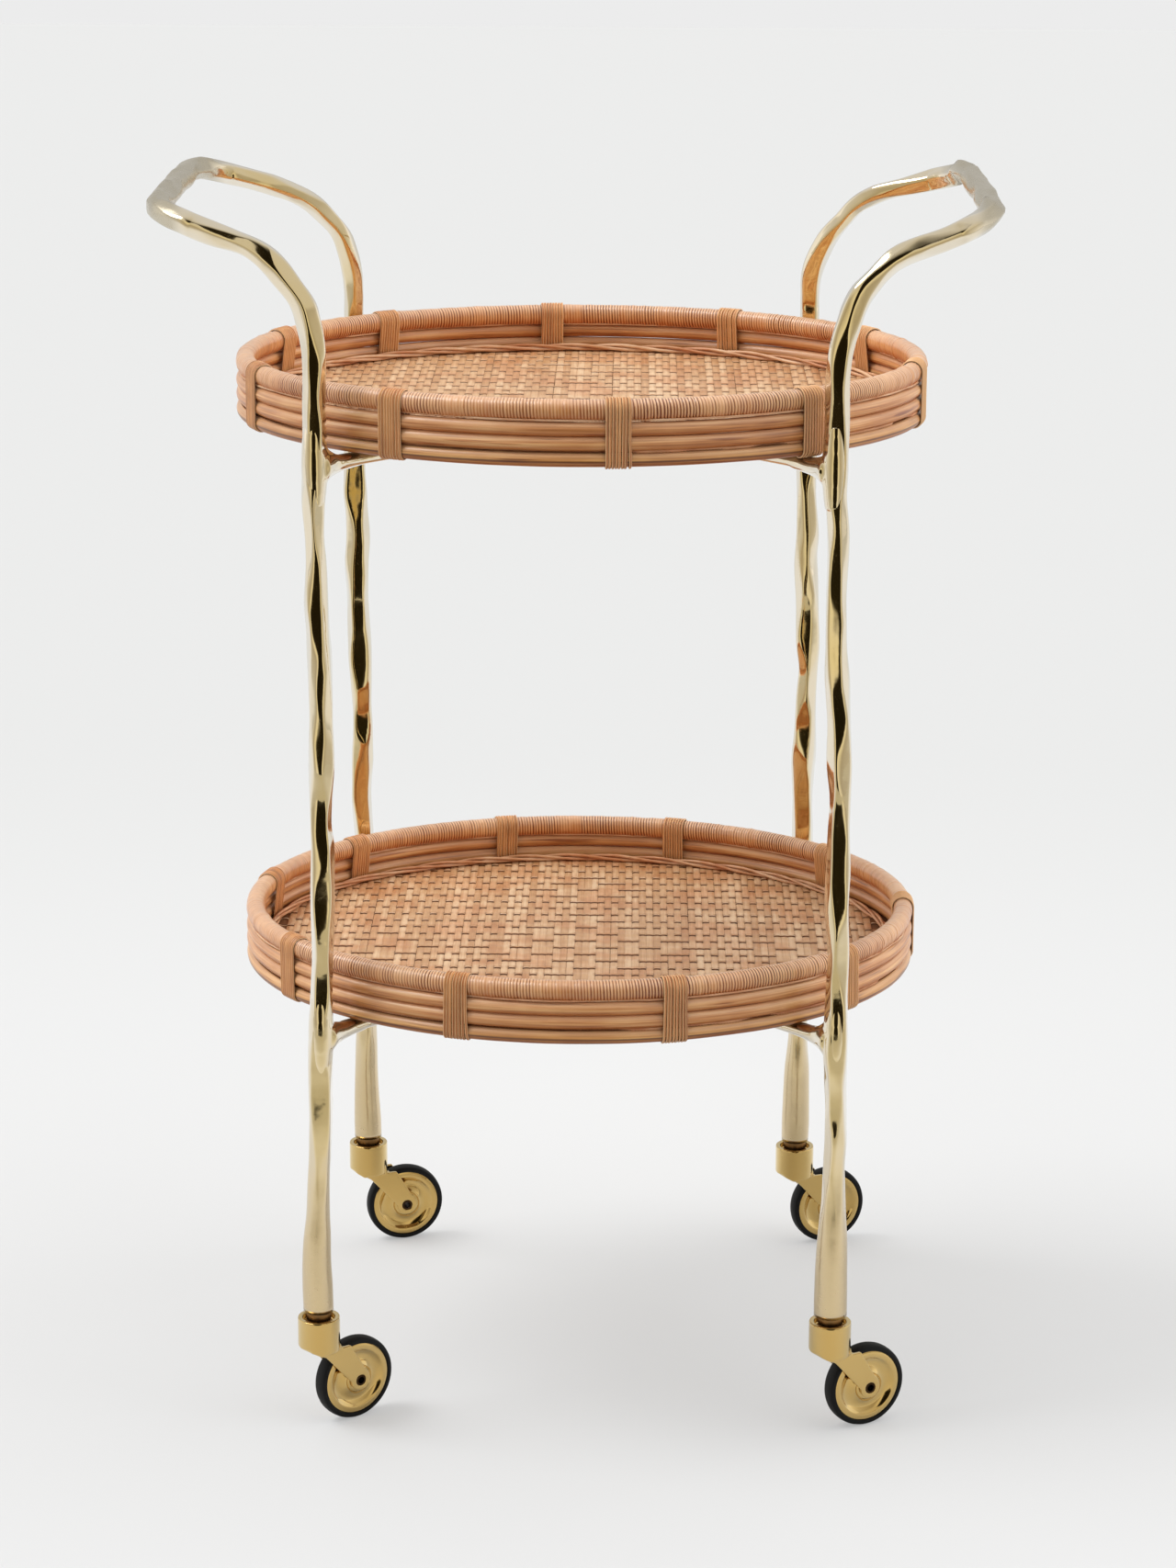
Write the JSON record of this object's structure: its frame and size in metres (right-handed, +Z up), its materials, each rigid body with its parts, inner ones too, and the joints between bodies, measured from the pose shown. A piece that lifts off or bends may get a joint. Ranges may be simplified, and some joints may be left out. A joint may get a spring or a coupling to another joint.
{
  "type": "wicker serving trolley",
  "caption": "Serving trolley with oval wicker trays on a cast brass frame, hoop handles at both ends and swivel casters that roll.",
  "frame": {"origin": "centre of the trolley's outline, on the floor", "axes": "+Z up, +Y towards the back, +X to the right seen from the front"},
  "size_m": [0.6005, 0.4363, 0.8979],
  "materials": {
    "frame_brass": "polished cast brass, pale gold, softly uneven",
    "caster_brass": "satin brass",
    "rattan_pole": "satin lacquered rattan",
    "cane_wrapping": "satin cane",
    "binding_cane": "satin cane",
    "woven_rattan": "matt peeled rattan",
    "trim_cane": "satin cane",
    "board_wood": "sanded plywood",
    "screw_steel": "plain steel",
    "stem_steel": "bronzed steel",
    "axle_steel": "satin brass",
    "bushing_plastic": "plain nylon",
    "tyre_rubber": "satin rubber"
  },
  "bodies": {
    "frame_and_trays": {"front_left_leg": "frame_brass", "front_right_leg": "frame_brass", "back_left_leg": "frame_brass", "back_right_leg": "frame_brass", "left_handle": "frame_brass", "right_handle": "frame_brass", "upper_cross_brace": "frame_brass", "upper_rim_pole": "rattan_pole", "upper_rim_wrapping": "cane_wrapping", "upper_first_side_pole": "rattan_pole", "upper_second_side_pole": "rattan_pole", "upper_base_pole": "rattan_pole", "upper_woven_mat": "woven_rattan", "upper_mat_trim": "trim_cane", "upper_bindings": "binding_cane", "upper_base_board": "board_wood", "upper_tray_screws": "screw_steel", "lower_cross_brace": "frame_brass", "lower_rim_pole": "rattan_pole", "lower_rim_wrapping": "cane_wrapping", "lower_first_side_pole": "rattan_pole", "lower_second_side_pole": "rattan_pole", "lower_base_pole": "rattan_pole", "lower_woven_mat": "woven_rattan", "lower_mat_trim": "trim_cane", "lower_bindings": "binding_cane", "lower_base_board": "board_wood", "lower_tray_screws": "screw_steel", "front_left_caster_stem": "stem_steel", "front_right_caster_stem": "stem_steel", "back_left_caster_stem": "stem_steel", "back_right_caster_stem": "stem_steel"},
    "front_left_fork": {"front_left_caster_fork": "caster_brass", "front_left_swivel_bearing": "stem_steel", "front_left_wheel_axle": "axle_steel"},
    "front_left_wheel": {"front_left_wheel_disc": "caster_brass", "front_left_wheel_tyre": "tyre_rubber", "front_left_wheel_bushing": "bushing_plastic"},
    "front_right_fork": {"front_right_caster_fork": "caster_brass", "front_right_swivel_bearing": "stem_steel", "front_right_wheel_axle": "axle_steel"},
    "front_right_wheel": {"front_right_wheel_disc": "caster_brass", "front_right_wheel_tyre": "tyre_rubber", "front_right_wheel_bushing": "bushing_plastic"},
    "back_left_fork": {"back_left_caster_fork": "caster_brass", "back_left_swivel_bearing": "stem_steel", "back_left_wheel_axle": "axle_steel"},
    "back_left_wheel": {"back_left_wheel_disc": "caster_brass", "back_left_wheel_tyre": "tyre_rubber", "back_left_wheel_bushing": "bushing_plastic"},
    "back_right_fork": {"back_right_caster_fork": "caster_brass", "back_right_swivel_bearing": "stem_steel", "back_right_wheel_axle": "axle_steel"},
    "back_right_wheel": {"back_right_wheel_disc": "caster_brass", "back_right_wheel_tyre": "tyre_rubber", "back_right_wheel_bushing": "bushing_plastic"}
  },
  "joints": [
    {"name": "front_left_swivel", "type": "hinge", "parent": "frame_and_trays", "child": "front_left_fork", "pos_m": [-0.1875, -0.18, 0.075], "axis": [0, 0, 1], "continuous": true},
    {"name": "front_left_wheel_spin", "type": "hinge", "parent": "front_left_fork", "child": "front_left_wheel", "pos_m": [-0.16386, -0.16153, 0.0315], "axis": [-0.6157, 0.788, 0], "continuous": true},
    {"name": "front_right_swivel", "type": "hinge", "parent": "frame_and_trays", "child": "front_right_fork", "pos_m": [0.1875, -0.18, 0.075], "axis": [0, 0, 1], "continuous": true},
    {"name": "front_right_wheel_spin", "type": "hinge", "parent": "front_right_fork", "child": "front_right_wheel", "pos_m": [0.21399, -0.16592, 0.0315], "axis": [-0.4695, 0.8829, 0], "continuous": true},
    {"name": "back_left_swivel", "type": "hinge", "parent": "frame_and_trays", "child": "back_left_fork", "pos_m": [-0.175, 0.18, 0.075], "axis": [0, 0, 1], "continuous": true},
    {"name": "back_left_wheel_spin", "type": "hinge", "parent": "back_left_fork", "child": "back_left_wheel", "pos_m": [-0.14631, 0.18877, 0.0315], "axis": [-0.2924, 0.9563, 0], "continuous": true},
    {"name": "back_right_swivel", "type": "hinge", "parent": "frame_and_trays", "child": "back_right_fork", "pos_m": [0.175, 0.18, 0.075], "axis": [0, 0, 1], "continuous": true},
    {"name": "back_right_wheel_spin", "type": "hinge", "parent": "back_right_fork", "child": "back_right_wheel", "pos_m": [0.20282, 0.19124, 0.0315], "axis": [-0.3746, 0.9272, 0], "continuous": true}
  ]
}
